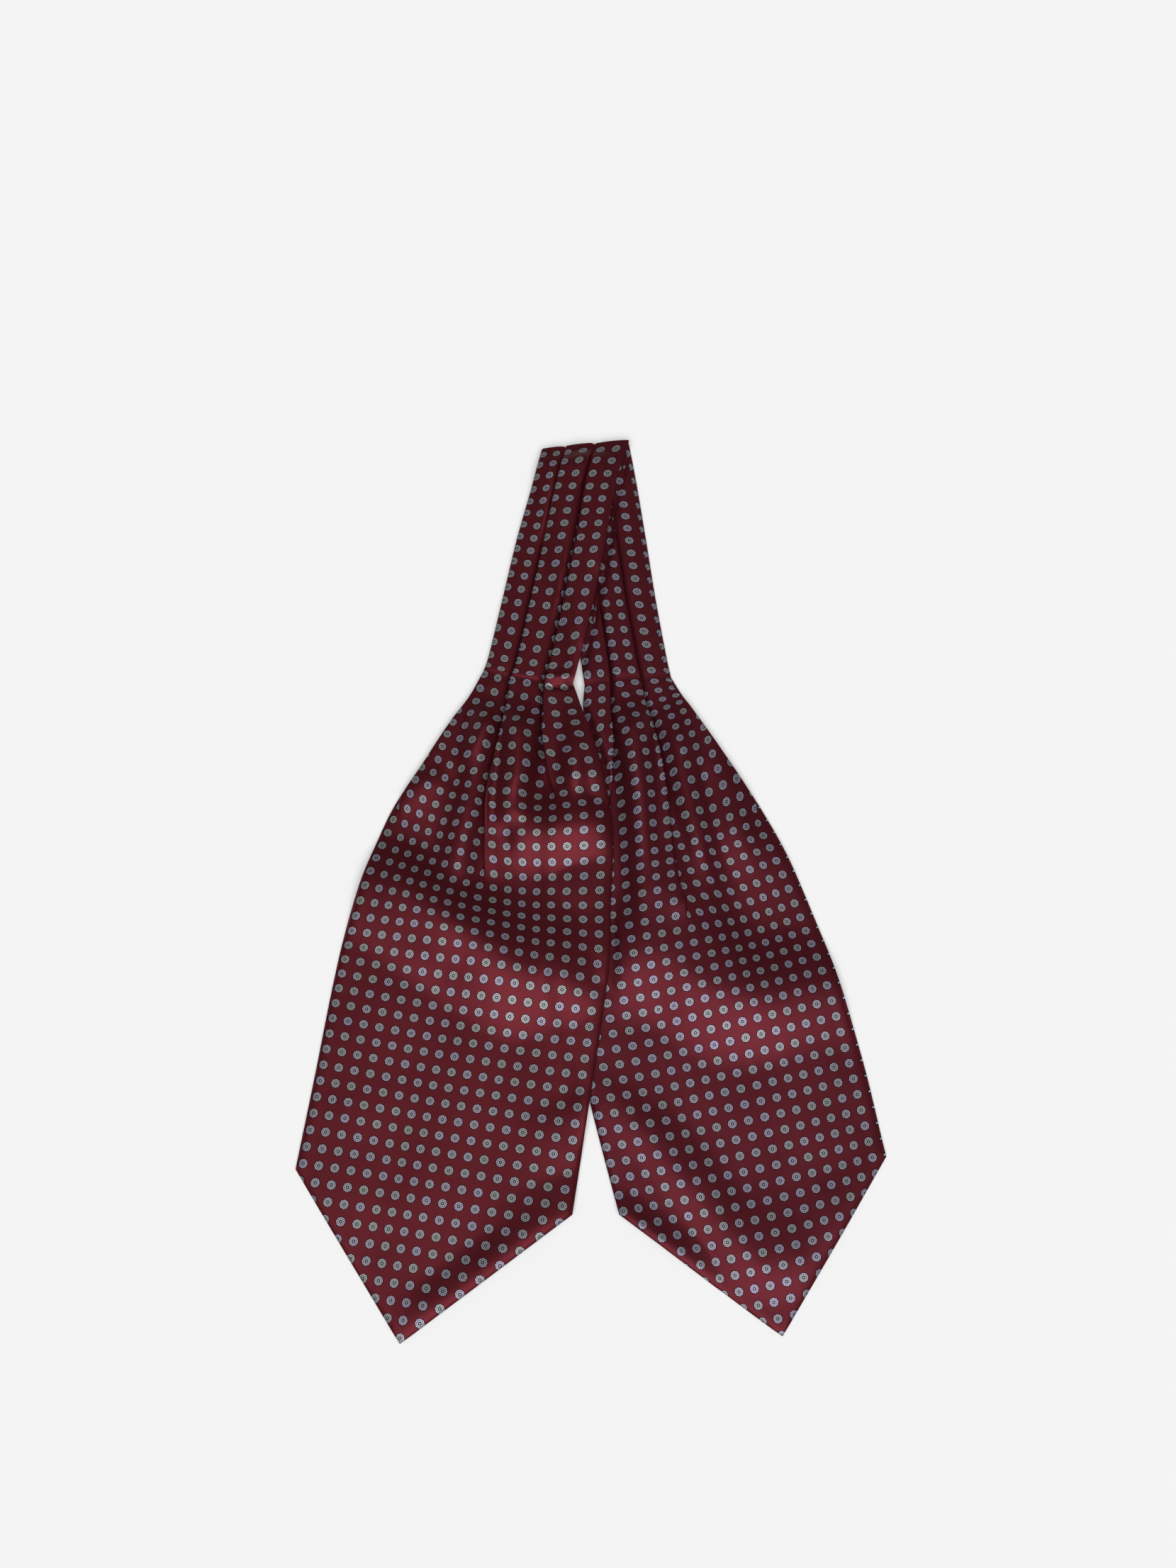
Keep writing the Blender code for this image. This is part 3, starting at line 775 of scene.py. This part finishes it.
# %% Cloth mesh
def cloth_piece(name, side, rows):
    """A named sheet of cloth through the rows, with its threads as a UV map in repeats."""
    across = len(rows[0])
    points = [point for row in rows for point in row]
    faces = []
    for r in range(len(rows) - 1):
        for c in range(across - 1):
            a = r * across + c
            quad = (a, a + across, a + across + 1, a + 1)
            faces.append(quad if side == "left" else quad[::-1])
    mesh = bpy.data.meshes.new(name)
    mesh.from_pydata(
        [((x - CENTRE[0]) * MM, (y - CENTRE[1]) * MM, z * MM) for x, y, z, _, _ in points], [], faces
    )
    threads = mesh.uv_layers.new(name="threads")
    for loop in mesh.loops:
        point = points[loop.vertex_index]
        threads.data[loop.index].uv = (point[3], point[4])
    mesh.update()
    piece = bpy.data.objects.new(name, mesh)
    bpy.context.scene.collection.objects.link(piece)
    bpy.context.view_layer.objects.active = piece
    piece.select_set(True)
    wall = piece.modifiers.new("wall", "SOLIDIFY")
    wall.thickness = CLOTH * MM
    wall.offset = 0.0
    bpy.ops.object.modifier_apply(modifier="wall")
    round_edge = piece.modifiers.new("round_edge", "BEVEL")
    round_edge.width = 0.3 * CLOTH * MM
    round_edge.segments = 2
    round_edge.limit_method = "ANGLE"
    round_edge.angle_limit = radians(75)
    bpy.ops.object.modifier_apply(modifier="round_edge")
    bpy.ops.object.shade_smooth()
    piece.select_set(False)
    print(name, len(piece.data.polygons), "faces")
    return piece


right_half = cloth_piece("right_half", "right", right_rows)
left_half = cloth_piece("left_half", "left", left_rows)

# %% [markdown]
# ## The print
#
# Each rosette is eight petals round a small eye, edged with pale lines as thin as a thread and set
# on a dark disc. An image could carry it, but a formula stays sharp at any distance. The group takes
# the cloth's own map, cuts it into squares of one repeat, and measures distance and angle from each
# middle. All its sizes are shares of the repeat.

# %% Node helpers
def group_with(name, inputs, outputs):
    """An empty shader node group with named sockets, and its two end nodes."""
    made = bpy.data.node_groups.new(name, "ShaderNodeTree")
    for label, kind, value in inputs:
        socket = made.interface.new_socket(name=label, in_out="INPUT", socket_type=kind)
        if value is not None:
            socket.default_value = value
    for label, kind in outputs:
        made.interface.new_socket(name=label, in_out="OUTPUT", socket_type=kind)
    return made, made.nodes.new("NodeGroupInput"), made.nodes.new("NodeGroupOutput")


def math(tree, operation, first, second=None, third=None):
    """A Math node with numbers or sockets as its inputs."""
    node = tree.nodes.new("ShaderNodeMath")
    node.operation = operation
    for i, value in enumerate((first, second, third)):
        if value is None:
            continue
        if isinstance(value, (int, float)):
            node.inputs[i].default_value = value
        else:
            tree.links.new(value, node.inputs[i])
    return node.outputs[0]


def band(tree, value, low, high, soft):
    """1 while value lies between low and high, with edges that fade over soft."""
    rise = math(tree, "MULTIPLY_ADD", value, 1.0 / soft, 0.5 - low / soft)
    drop = math(tree, "MULTIPLY_ADD", value, -1.0 / soft, 0.5 + high / soft)
    both = math(tree, "MINIMUM", rise, drop)
    both.node.use_clamp = True
    return both


print("node helpers: group_with, math and band")

# %% Rosette group: the place within its square
PETALS = 8
RIM = 0.222  # mean radius of the outline
SCALLOP = 0.036  # how far it swings in and out
HALO = 0.062  # how far the dark disc reaches beyond it
SOFT = 0.015  # width over which each edge fades
rosette, taken, given = group_with(
    "rosette",
    (("Threads", "NodeSocketVector", None), ("Softness", "NodeSocketFloat", 0.02)),
    (("Disc", "NodeSocketFloat"), ("Petals", "NodeSocketFloat"), ("Lines", "NodeSocketFloat"),
     ("Hue", "NodeSocketFloat")),
)
shift = rosette.nodes.new("ShaderNodeVectorMath")
shift.operation = "ADD"
shift.inputs[1].default_value = (0.5, 0.5, 0.0)
rosette.links.new(taken.outputs["Threads"], shift.inputs[0])
cell = rosette.nodes.new("ShaderNodeVectorMath")
cell.operation = "FRACTION"
rosette.links.new(shift.outputs[0], cell.inputs[0])
parts = rosette.nodes.new("ShaderNodeSeparateXYZ")
rosette.links.new(cell.outputs[0], parts.inputs[0])
a = math(rosette, "SUBTRACT", parts.outputs["X"], 0.5)
b = math(rosette, "SUBTRACT", parts.outputs["Y"], 0.5)
radius = math(rosette, "SQRT", math(rosette, "MULTIPLY_ADD", a, a, math(rosette, "MULTIPLY", b, b)))
angle = math(rosette, "ARCTAN2", b, a)
# The petal that an angle falls in, as an angle from that petal's own middle.
turn = math(rosette, "SUBTRACT",
            math(rosette, "FRACT",
                 math(rosette, "MULTIPLY_ADD", angle, PETALS / (2.0 * pi), PETALS + 0.5)), 0.5)
from_petal = math(rosette, "MULTIPLY", turn, 2.0 * pi / PETALS)
scallop = math(rosette, "COSINE", math(rosette, "MULTIPLY", from_petal, PETALS / 2.0))
rim = math(rosette, "MULTIPLY_ADD", scallop, SCALLOP, RIM)
beyond_rim = math(rosette, "SUBTRACT", radius, rim)
print("a rosette is", round(2.0 * (RIM + SCALLOP) * REPEAT, 1), "mm across")

# %% Rosette group: its lines and fills
disc = band(rosette, beyond_rim, -1.0, HALO, 2.0 * SOFT)
outline = band(rosette, beyond_rim, -0.024, 0.008, SOFT)
# Pale lines part the petals, from the inner ring to the outline.
aside = math(rosette, "SUBTRACT", pi / PETALS, math(rosette, "ABSOLUTE", from_petal))
off_line = math(rosette, "MULTIPLY", radius, math(rosette, "SINE", aside))
spokes = math(rosette, "MULTIPLY", band(rosette, off_line, -1.0, 0.010, SOFT),
              band(rosette, radius, 0.13, 0.24, SOFT))
ring = band(rosette, radius, 0.112, 0.142, SOFT)
eye = band(rosette, radius, -1.0, 0.042, SOFT)
# Each petal is filled up to a thin dark line inside the outline and beside the pale ones.
petals = math(rosette, "MULTIPLY", band(rosette, off_line, 0.022, 1.0, SOFT),
              math(rosette, "MULTIPLY", band(rosette, beyond_rim, -1.0, -0.030, SOFT),
                   band(rosette, radius, 0.150, 1.0, SOFT)))
drawn = math(rosette, "MAXIMUM", outline, spokes)
drawn = math(rosette, "MAXIMUM", drawn, ring)
drawn = math(rosette, "MAXIMUM", drawn, eye)
# No two rosettes take the dye quite alike, so each has a hue of its own, from 0 to 1.
which = rosette.nodes.new("ShaderNodeVectorMath")
which.operation = "FLOOR"
rosette.links.new(shift.outputs[0], which.inputs[0])
dye = rosette.nodes.new("ShaderNodeTexWhiteNoise")
dye.noise_dimensions = "2D"
rosette.links.new(which.outputs[0], dye.inputs["Vector"])
rosette.links.new(dye.outputs["Value"], given.inputs["Hue"])
rosette.links.new(petals, given.inputs["Petals"])
rosette.links.new(disc, given.inputs["Disc"])
rosette.links.new(math(rosette, "MULTIPLY", drawn, disc), given.inputs["Lines"])
print("rosette group:", len(rosette.nodes), "nodes")

# %% [markdown]
# ## The weave
#
# Twill shows as fine slanting ribs, far too small to model. A sine along the slant gives them as a
# height for the bump, and slow noise gives a cloud by which the dye is a little deeper here and
# there.

# %% Twill group
twill, taken, given = group_with(
    "twill",
    (("Threads", "NodeSocketVector", None), ("Ribs", "NodeSocketFloat", 26.0)),
    (("Rib", "NodeSocketFloat"), ("Cloud", "NodeSocketFloat")),
)
parts = twill.nodes.new("ShaderNodeSeparateXYZ")
twill.links.new(taken.outputs["Threads"], parts.inputs[0])
slant = math(twill, "ADD", parts.outputs["X"], parts.outputs["Y"])
turns = math(twill, "MULTIPLY", taken.outputs["Ribs"], 2.0 * pi)
rib = math(twill, "SINE", math(twill, "MULTIPLY", slant, turns))
cloud = twill.nodes.new("ShaderNodeTexNoise")
cloud.inputs["Scale"].default_value = 0.35
cloud.inputs["Detail"].default_value = 3.0
twill.links.new(taken.outputs["Threads"], cloud.inputs["Vector"])
twill.links.new(math(twill, "MULTIPLY_ADD", rib, 0.5, 0.5), given.inputs["Rib"])
twill.links.new(cloud.outputs["Fac"], given.inputs["Cloud"])
print("twill group:", len(twill.nodes), "nodes")

# %% [markdown]
# ## Silk twill
#
# This silk is burgundy at heart and brighter where light glances off its float threads. The Principled
# shader does that with a middling roughness and a base that is partly metallic, since metallic
# glints take the colour of the thread as silk's do. The print changes the base colour and dulls the
# pale lines, the twill ribs change the bump, and a slow cloud keeps the ground from being flat.

# %% Silk material
def blend(tree, share, first, second):
    """The colour that lies share of the way from first to second, each a colour or a socket."""
    node = tree.nodes.new("ShaderNodeMix")
    node.data_type = "RGBA"
    for label, value in (("Factor", share), ("A", first), ("B", second)):
        if isinstance(value, (float, tuple)):
            node.inputs[label].default_value = value
        else:
            tree.links.new(value, node.inputs[label])
    return node.outputs["Result"]


def silk(name, ground, deep, greenish, lilac, navy):
    """A printed silk twill: two shades of its ground, two of the pale dye, and the dark dye."""
    made = bpy.data.materials.new(name)
    made.use_nodes = True
    tree = made.node_tree
    shader = tree.nodes["Principled BSDF"]
    shader.inputs["Specular IOR Level"].default_value = 0.05
    threads = tree.nodes.new("ShaderNodeUVMap")
    threads.uv_map = "threads"
    weave = tree.nodes.new("ShaderNodeGroup")
    weave.node_tree = twill
    motif = tree.nodes.new("ShaderNodeGroup")
    motif.node_tree = rosette
    for node in (weave, motif):
        tree.links.new(threads.outputs["UV"], node.inputs["Threads"])
    cloth = blend(tree, weave.outputs["Cloud"], deep, ground)
    motif_tint = blend(tree, motif.outputs["Hue"], greenish, lilac)
    petal_tint = blend(tree, 0.36, navy, motif_tint)
    printed = blend(tree, motif.outputs["Disc"], cloth, navy)
    printed = blend(tree, motif.outputs["Petals"], printed, petal_tint)
    printed = blend(tree, motif.outputs["Lines"], printed, motif_tint)
    tree.links.new(printed, shader.inputs["Base Color"])
    # The printed lines take the dye's own dull surface, so they glance less than the ground.
    tree.links.new(math(tree, "MULTIPLY_ADD", motif.outputs["Lines"], -0.24, 0.60),
                   shader.inputs["Metallic"])
    gloss = math(tree, "MULTIPLY_ADD", weave.outputs["Rib"], -0.06, 0.45)
    tree.links.new(gloss, shader.inputs["Roughness"])
    ribs = tree.nodes.new("ShaderNodeBump")
    ribs.inputs["Strength"].default_value = 0.122
    ribs.inputs["Distance"].default_value = 0.0001
    tree.links.new(weave.outputs["Rib"], ribs.inputs["Height"])
    tree.links.new(ribs.outputs["Normal"], shader.inputs["Normal"])
    return made


face_silk = silk("silk_face", (0.098, 0.0128, 0.0178, 1.0), (0.084, 0.0105, 0.0149, 1.0),
                 (0.37, 0.385, 0.35, 1.0), (0.40, 0.365, 0.46, 1.0), (0.011, 0.007, 0.017, 1.0))
reverse_silk = silk("silk_reverse", (0.096, 0.0133, 0.0194, 1.0), (0.082, 0.0108, 0.0163, 1.0),
                    (0.38, 0.385, 0.375, 1.0), (0.41, 0.37, 0.485, 1.0), (0.011, 0.007, 0.019, 1.0))
print("materials:", face_silk.name, "and", reverse_silk.name)

# %% [markdown]
# ## Two sheets of cloth
#
# Each half takes the place of its two CAD solids and rides on the one body. A point has half
# the area of a square end of its depth, 82 mm, so 41 mm come off the length that counts for the
# area.

for piece, material, nodes, slot, length in (
    (left_half, face_silk, ("left_blade", "left_neck_band"), "silk_face", 0.590),
    (right_half, reverse_silk, ("right_blade", "right_neck_band"), "silk_reverse", 0.586),
):
    piece.data.materials.append(material)
    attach(piece, "root")
    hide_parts(*nodes)
